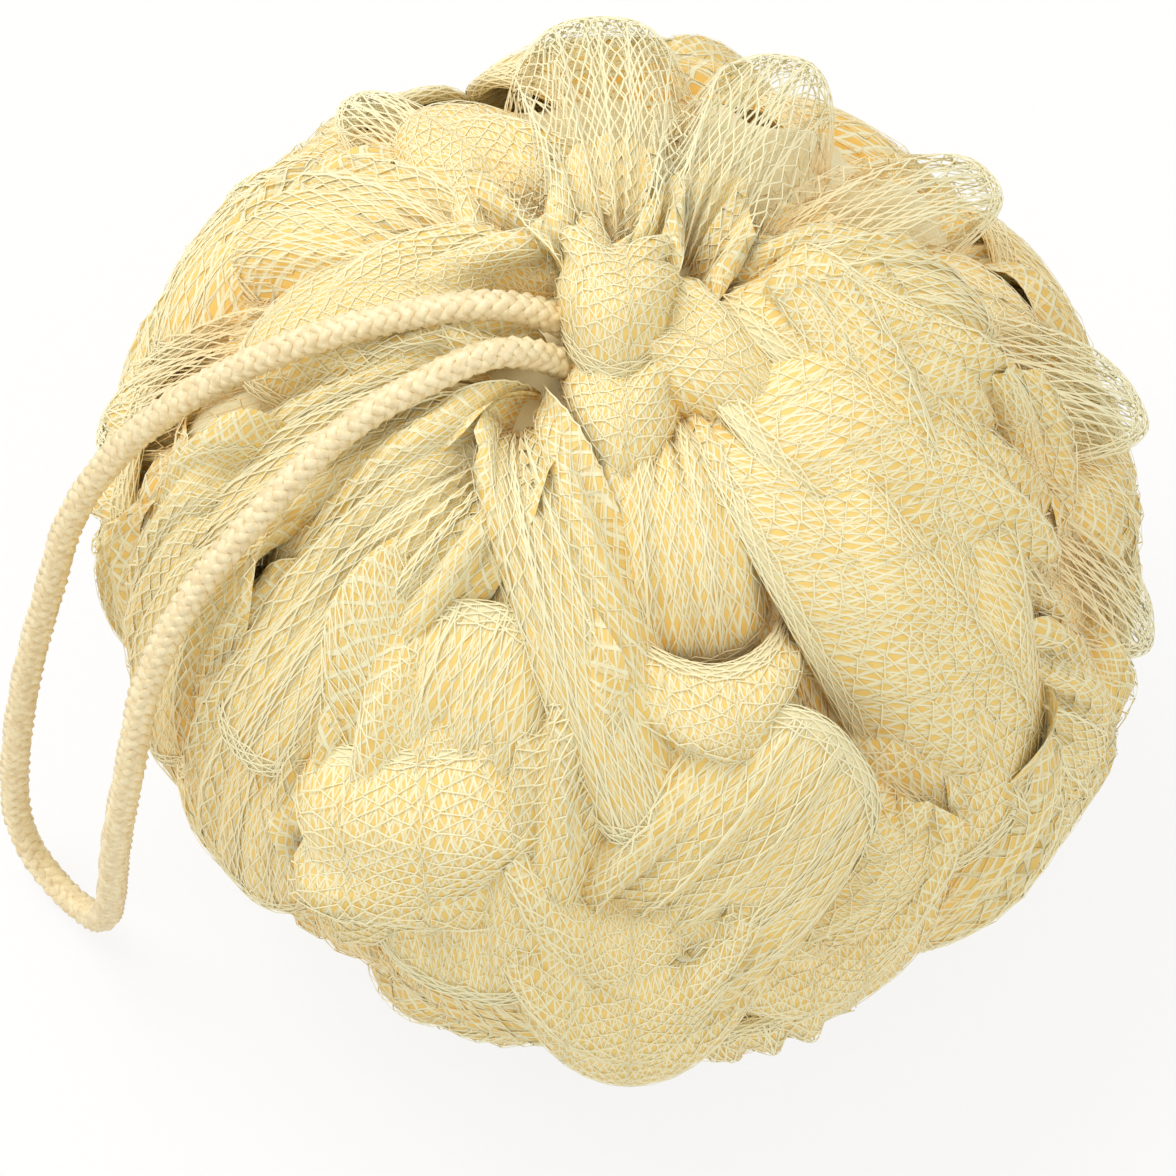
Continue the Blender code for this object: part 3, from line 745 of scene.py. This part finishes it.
def net_lines(lobe, cell_width, cell_length, first, back_to):
    """The zigzag threads of one lobe, each touching its neighbours by turns, so that they make a net."""
    width, length = lobe_size(lobe)
    fold = math.pi * ROLL / 2 / length
    last = 2 + fold - back_to
    crosswise = lobe.name in CROSSWISE
    reach = (last - first) * length
    beside, onward = (reach, width) if crosswise else (width, reach)
    if crosswise:
        cell_width, cell_length = cell_width * 0.9, cell_length * 1.1
    count = round(beside / cell_width)
    steps = round(onward / cell_length * 2)
    line, knot = np.meshgrid(np.arange(count), np.arange(steps + 1), indexing="ij")
    place = (line + 0.5 + ZIGZAG * (-1.0) ** (line + knot)) / count
    across, share = (knot / steps, place) if crosswise else (place, knot / steps)
    course = first + share * (last - first)
    across = np.clip(across + bunching(lobe, across, course, width), 0.0, 1.0)
    lines, outs = lobe_layers(lobe, across, course, fold, ROLL)
    steps = round(width / RIM_CELL)
    line, knot = np.meshgrid(np.arange(RIM_THREADS), np.arange(steps + 1), indexing="ij")
    sway = line / (RIM_THREADS - 1) + 0.4 / RIM_THREADS * (-1.0) ** (line + knot)
    course = 1 - (1 - sway) * RIM_BAND / length + sway * fold
    hem, hem_outs = lobe_layers(lobe, knot / steps, course, fold, ROLL + RIM_LIFT)
    return list(lines) + list(hem), list(outs) + list(hem_outs)


def liner_mesh(name, lobes):
    """The layers of net in the lobes, rolled over at their rims, as one mesh.

    Its first chart is in cells of the net, and its second in centimetres from the rim.
    """
    verts, faces, cells, edges = [], [], [], []
    at = 0
    for lobe in lobes:
        width, length = lobe_size(lobe)
        fold = math.pi * ROLL / 2 / length
        course = np.linspace(0.1, 1.0, LINER_ROWS)
        if lobe.name in SHEER:
            course = course * 0.6
        else:
            rolled = 1 + fold * np.linspace(0.2, 1.0, 5)
            course = np.concatenate([course, rolled, 1 + fold + np.array([0.05, 0.12])])
        course, across = np.meshgrid(course, np.linspace(0.0, 1.0, LINER_COLUMNS), indexing="ij")
        points, out = lobe_layers(lobe, across, course, fold, ROLL - LINER_INSET)
        ids = np.arange(points.size // 3).reshape(across.shape) + at
        quads = np.stack([ids[:-1, :-1], ids[:-1, 1:], ids[1:, 1:], ids[1:, :-1]], axis=-1)
        quads = quads.reshape(-1, 4)
        turn = np.cross(points[0, 1] - points[0, 0], points[1, 0] - points[0, 0])
        faces.append(quads if turn @ out[0, 0] > 0 else quads[:, ::-1])
        verts.append(points.reshape(-1, 3))
        cell = np.stack([across * width / DRAWN_CELL[0], course * length / DRAWN_CELL[1]], axis=-1)
        cells.append(cell.reshape(-1, 2))
        edges.append(np.stack([(1 - course) * length * 100, across], axis=-1).reshape(-1, 2))
        at += ids.size
    data = bpy.data.meshes.new(name)
    data.from_pydata(np.concatenate(verts).tolist(), [], np.concatenate(faces).tolist())
    corner = np.zeros(len(data.loops), int)
    data.loops.foreach_get("vertex_index", corner)
    for label, places in (("cells", cells), ("rim", edges)):
        chart = data.uv_layers.new(name=label)
        chart.data.foreach_set("uv", np.concatenate(places)[corner].astype(np.float32).ravel())
    data.polygons.foreach_set("use_smooth", np.ones(len(data.polygons), bool))
    return data


def core_mesh(name):
    """The tightly packed middle, pleated from pole to pole, with a pattern map in cells."""
    shape = bmesh.new()
    chart = shape.loops.layers.uv.new("cells")
    bmesh.ops.create_uvsphere(shape, u_segments=96, v_segments=40, radius=1.0, calc_uvs=True)
    wide, high = CORE_RADIUS + CORE_FILLING, CORE_HALF_HEIGHT + CORE_FILLING
    for vert in shape.verts:
        x, y, z = vert.co
        flat = math.hypot(x, y)
        pleat = 1 + CORE_PLEAT_DEPTH * flat * math.cos(CORE_PLEATS * math.atan2(y, x) + 3 * z)
        vert.co = Vector((x * wide * pleat, y * wide * pleat, CENTRE[2] + z * high))
    for face in shape.faces:
        face.smooth = True
        for loop in face.loops:
            u, v = loop[chart].uv
            loop[chart].uv = (u * CORE_CELLS[0], v * CORE_CELLS[1])
    data = bpy.data.meshes.new(name)
    shape.to_mesh(data)
    shape.free()
    return data


class PoufNetSettings(bpy.types.PropertyGroup):
    """Sizes and colours of the net."""

    cell_width: bpy.props.FloatProperty(
        name="Cell width",
        description="Width of one mesh of the net",
        default=0.00125,
        subtype="DISTANCE",
        unit="LENGTH",
    )
    cell_length: bpy.props.FloatProperty(
        name="Cell length",
        description="Length of one mesh of the net",
        default=0.0036,
        subtype="DISTANCE",
        unit="LENGTH",
    )
    thread: bpy.props.FloatProperty(
        name="Thread",
        description="Diameter of a thread",
        default=0.00022,
        subtype="DISTANCE",
        unit="LENGTH",
    )
    colour: bpy.props.FloatVectorProperty(
        name="Net colour",
        description="Colour of the threads",
        default=(0.92, 0.86, 0.57),
        subtype="COLOR",
        min=0,
        max=1,
    )
    # Painted shade: the darker orange that the net and the packed middle take deep in the folds
    painted_fold_shade: bpy.props.FloatVectorProperty(
        name="Painted fold shade",
        description="Painted shade deep in the folds",
        default=(0.94, 0.50, 0.07),
        subtype="COLOR",
        min=0,
        max=1,
    )
    # Painted shade on the deeper layers of net that show between the threads, darker and warmer than the
    # threads
    shade_colour: bpy.props.FloatVectorProperty(
        name="Shade colour",
        description="Colour between threads",
        default=(0.90, 0.64, 0.20),
        subtype="COLOR",
        min=0,
        max=1,
    )


class PoufCordSettings(bpy.types.PropertyGroup):
    """Sizes and colours of the cord."""

    diameter: bpy.props.FloatProperty(
        name="Diameter",
        description="Diameter of the cord",
        default=0.0040,
        subtype="DISTANCE",
        unit="LENGTH",
    )
    lead: bpy.props.FloatProperty(
        name="Lead",
        description="Length in which a yarn goes once round",
        default=0.0068,
        subtype="DISTANCE",
        unit="LENGTH",
    )
    colour: bpy.props.FloatVectorProperty(
        name="Cord colour",
        description="Colour of the yarns",
        default=(0.96, 0.83, 0.53),
        subtype="COLOR",
        min=0,
        max=1,
    )


class PoufStageSettings(bpy.types.PropertyGroup):
    """Where the camera stands and its lens."""

    elevation: bpy.props.FloatProperty(
        name="Elevation",
        description="How far down the camera looks",
        default=math.radians(62),
        subtype="ANGLE",
    )
    distance: bpy.props.FloatProperty(
        name="Distance",
        description="From the camera to the ball",
        default=0.8,
        subtype="DISTANCE",
        unit="LENGTH",
    )
    lens: bpy.props.FloatProperty(name="Lens", description="Focal length in millimetres", default=200.8)


def spread(lobes, lowest, highest):
    """The lobes whose crown lies between two azimuths."""
    return [lobe for lobe in lobes if lowest <= lobe.rim[1][0] % 360 < highest]


class POUF_OT_stage(bpy.types.Operator):
    """Sets the camera, the floor and the lamps"""

    bl_idname = "pouf.stage"
    bl_label = "Set the stage"

    def execute(self, context):
        settings = context.scene.pouf_stage
        rise = settings.elevation
        way = np.array([0.0, -math.cos(rise), math.sin(rise)])
        up = np.array([0.0, math.sin(rise), math.cos(rise)])
        metres = settings.distance * SENSOR / settings.lens / FRAME
        right, down = (FRAME / 2 - place for place in BALL_IN_FRAME)
        aim = CENTRE + np.array([right, 0, 0]) * metres - down * metres * up
        lens = bpy.data.cameras.new("camera")
        lens.lens = settings.lens
        lens.sensor_width = SENSOR
        lens.clip_start = 0.01
        camera = bpy.data.objects.new("camera", lens)
        context.scene.collection.objects.link(camera)
        camera.location = aim + way * settings.distance
        camera.rotation_euler = (math.pi / 2 - rise, 0, 0)
        context.scene.camera = camera

        bpy.ops.mesh.primitive_plane_add(size=6.0, location=(0, 0, -0.0005))
        floor = context.active_object
        floor.name = "floor"
        paper = Finish("pale_paper", (0.86, 0.85, 0.83), 0.6)
        paper.shader.inputs["Specular IOR Level"].default_value = 0.1
        light = paper.node("ShaderNodeLightPath").outputs
        seen = Wire(paper, light["Is Camera Ray"]).sum("MAXIMUM", light["Is Glossy Ray"])
        white = paper.node("ShaderNodeEmission", None, {"Color": (1.0, 1.0, 1.0), "Strength": 1.0})
        mixed = paper.node("ShaderNodeMixShader")
        paper.put(mixed.inputs[0], seen * 0.82)
        paper.put(mixed.inputs[1], paper.shader.outputs[0])
        paper.put(mixed.inputs[2], white.outputs[0])
        paper.put(paper.output.inputs["Surface"], mixed.outputs[0])
        floor.data.materials.append(paper.material)

        for name, place, size, power in (
            ("key", (-0.5, 0.35, 1.1), 0.9, 8.0),
            ("fill", (0.5, -0.7, 0.8), 0.9, 1.5),
        ):
            lamp = bpy.data.lights.new(name, "AREA")
            lamp.energy = power
            lamp.size = size
            shone = bpy.data.objects.new(name, lamp)
            context.scene.collection.objects.link(shone)
            shone.location = place
            aimed = np.array(place) - CENTRE
            flat = math.hypot(aimed[0], aimed[1])
            shone.rotation_euler = (math.atan2(flat, aimed[2]), 0, math.atan2(aimed[0], -aimed[1]))

        world = bpy.data.worlds.new("studio")
        context.scene.world = world
        world.use_nodes = True
        sky = world.node_tree.nodes["Background"]
        sky.inputs["Color"].default_value = (1.0, 0.99, 0.97, 1.0)
        sky.inputs["Strength"].default_value = 0.75
        context.scene.view_settings.view_transform = "Standard"
        return {"FINISHED"}


class POUF_OT_cord(bpy.types.Operator):
    """Braids the hanging cord along its route"""

    bl_idname = "pouf.cord"
    bl_label = "Braid the cord"

    def execute(self, context):
        settings = context.scene.pouf_cord
        finish = Finish("cord_yarn", tuple(settings.colour), 0.38)
        place = finish.object_place()
        uneven = finish.noise(place, 900.0, 3.0)
        shade = tuple(c * f for c, f in zip(settings.colour, (0.88, 0.82, 0.74)))
        finish.colour(finish.blend(uneven.ramp(0.35, 0.65), shade, tuple(settings.colour)))
        finish.shader.inputs["Specular IOR Level"].default_value = 0.6
        finish.bump(finish.noise(place, 2600.0, 1.0), 0.00008, 0.5)
        route = smooth_route(np.array(CORD_ROUTE) / 1000, ROUTE_STEP)
        values = {
            "Cord diameter": settings.diameter,
            "Lead": settings.lead,
            "Material": finish.material,
        }
        cord = grow("hanging_cord_braid", line_mesh("route", [route]), braid_tree(), values)
        cord.data.polygons.foreach_set("use_smooth", np.ones(len(cord.data.polygons), bool))
        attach(cord, "root")
        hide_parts("hanging_cord")
        length = float(np.linalg.norm(np.diff(route, axis=0), axis=1).sum())
        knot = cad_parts["cord_knot"]
        knot.data.materials.clear()
        knot.data.materials.append(finish.material)
        return {"FINISHED"}


class POUF_OT_twine(bpy.types.Operator):
    """Gives the twine round the neck its twisted strands, painted darker in the grooves between them as
    painted shade
    """

    bl_idname = "pouf.twine"
    bl_label = "Finish the twine"

    def execute(self, context):
        finish = Finish("cotton_twine", (0.88, 0.86, 0.80), 0.75)
        x, y, z = finish.parts_of(finish.object_place())
        strands = ((x + y) * 2400 + z * 5200).sine()
        # Painted shade: the grooves, where the bump sinks, are darker
        finish.colour(finish.blend(strands.ramp(-1, 1), (0.74, 0.71, 0.63), (0.92, 0.90, 0.85)))
        finish.bump(strands, 0.0001)
        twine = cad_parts["binding_twine"]
        twine.data.materials.clear()
        twine.data.materials.append(finish.material)
        return {"FINISHED"}


class POUF_OT_inner_gathers(bpy.types.Operator):
    """Packs the layers of net that show between the threads of the outer ones"""

    bl_idname = "pouf.inner_gathers"
    bl_label = "Pack the inner gathers"

    def execute(self, context):
        settings = context.scene.pouf_net
        deep, light = tuple(settings.painted_fold_shade), tuple(settings.colour)
        finish = Finish("packed_net", light, 0.6)
        chart = finish.node("ShaderNodeUVMap", {"uv_map": "cells"}).outputs[0]
        u, v, _ = finish.parts_of(chart)
        drift = finish.noise(finish.object_place(), 120.0) * 1.6
        near = drawn_net(u + v + drift, u - v + drift, 1.0)
        far = drawn_net(u * 0.83 + v * 1.3 - drift, u * 0.83 - v * 0.9 - drift, 0.6)
        from_rim = finish.parts_of(finish.node("ShaderNodeUVMap", {"uv_map": "rim"}).outputs[0])[0]
        rim = abs(from_rim).ramp(0.06, 0.16, 1.0, 0.0)
        thread = near.sum("MAXIMUM", far).sum("MAXIMUM", rim * 0.8)
        # Painted shade between the drawn threads: the fold colour deep in the folds, the shade colour towards
        # the outside
        painted_shade_ground = finish.blend(openness(finish), deep, tuple(settings.shade_colour))
        finish.colour(finish.blend(thread, painted_shade_ground, light))
        finish.bump(thread, 0.0004, 0.5)
        finish.shader.inputs["Specular IOR Level"].default_value = 0.25
        base = liner_mesh("inner_gathers", LOBES + scattered_lobes() + FOOT_LOBES)
        gathers = bpy.data.objects.new("inner_gathers", base)
        context.scene.collection.objects.link(gathers)
        gathers.data.materials.append(finish.material)
        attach(gathers, "root")
        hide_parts("netting")
        area = sum(face.area for face in base.polygons)
        round(area / LINER_WIDTH, 3)

        # The packed middle lies deep in the ball, so it takes mostly the painted fold shade of this material
        core = bpy.data.objects.new("packed_core", core_mesh("packed_core"))
        context.scene.collection.objects.link(core)
        core.data.materials.append(finish.material)
        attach(core, "root")
        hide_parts("netting")
        return {"FINISHED"}


class POUF_OT_net(bpy.types.Operator):
    """Knits the outer net of each side of the ball, thread by thread"""

    bl_idname = "pouf.net"
    bl_label = "Knit the net"

    def execute(self, context):
        settings = context.scene.pouf_net
        finish = Finish("net_thread", tuple(settings.colour), 0.55)
        # The threads are painted a darker orange deep in the folds: painted shade
        fold = tuple(0.6 * a + 0.4 * b for a, b in zip(settings.painted_fold_shade, settings.colour))
        finish.colour(finish.blend(openness(finish), fold, tuple(settings.colour)))
        finish.shader.inputs["Specular IOR Level"].default_value = 0.2
        tree = thread_tree()
        values = {"Thread diameter": settings.thread, "Material": finish.material}
        scattered = scattered_lobes()
        groups = {
            "net_front_left": (spread(LOBES, 215, 270), 0.2),
            "net_front_right": (spread(LOBES, 270, 325), 0.2),
            "net_right": (spread(LOBES, 325, 360) + spread(LOBES, 0, 60), 0.2),
            "net_back": (spread(LOBES, 60, 160), 0.2),
            "net_left": (spread(LOBES, 160, 215), 0.2),
            "net_low_front": (spread(scattered, 180, 360) + FOOT_LOBES, 0.45),
            "net_low_back": (spread(scattered, 0, 180), 0.45),
        }
        for name, (lobes, first) in groups.items():
            lines, outs = [], []
            for lobe in lobes:
                until = 0.3 if lobe.name in SHEER else 0.9
                made, faced = net_lines(
                    lobe, settings.cell_width, settings.cell_length, first, until
                )
                lines += made
                outs += faced
            net = grow(name, line_mesh(name, lines, outs), tree, values)
            net.data.polygons.foreach_set("use_smooth", np.ones(len(net.data.polygons), bool))
            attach(net, "root")
            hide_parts("netting")
            area = sum(face.area for face in net.data.polygons)
            length = round(area / (1 - OPEN_SHARE) / STRIP_WIDTH, 4)
        return {"FINISHED"}


class POUF_PT_panel(bpy.types.Panel):
    """Lists the steps that dress the pouf"""

    bl_label = "Mesh Bath Pouf"
    bl_idname = "POUF_PT_panel"
    bl_space_type = "VIEW_3D"
    bl_region_type = "UI"
    bl_category = "Pouf"

    def draw(self, context):
        for settings in (context.scene.pouf_net, context.scene.pouf_cord, context.scene.pouf_stage):
            box = self.layout.box()
            for name in settings.__annotations__:
                box.prop(settings, name)
        for step in STEPS:
            self.layout.operator(step.bl_idname)


STEPS = (POUF_OT_stage, POUF_OT_cord, POUF_OT_twine, POUF_OT_inner_gathers, POUF_OT_net)
CLASSES = (PoufNetSettings, PoufCordSettings, PoufStageSettings, *STEPS, POUF_PT_panel)


def register():
    for made in CLASSES:
        bpy.utils.register_class(made)
    bpy.types.Scene.pouf_net = bpy.props.PointerProperty(type=PoufNetSettings)
    bpy.types.Scene.pouf_cord = bpy.props.PointerProperty(type=PoufCordSettings)
    bpy.types.Scene.pouf_stage = bpy.props.PointerProperty(type=PoufStageSettings)


def unregister():
    del bpy.types.Scene.pouf_stage
    del bpy.types.Scene.pouf_cord
    del bpy.types.Scene.pouf_net
    for made in reversed(CLASSES):
        bpy.utils.unregister_class(made)


def main():
    register()
    bpy.ops.pouf.stage()
    bpy.ops.pouf.cord()
    bpy.ops.pouf.twine()
    bpy.ops.pouf.inner_gathers()
    bpy.ops.pouf.net()


if __name__ == "__main__":
    main()
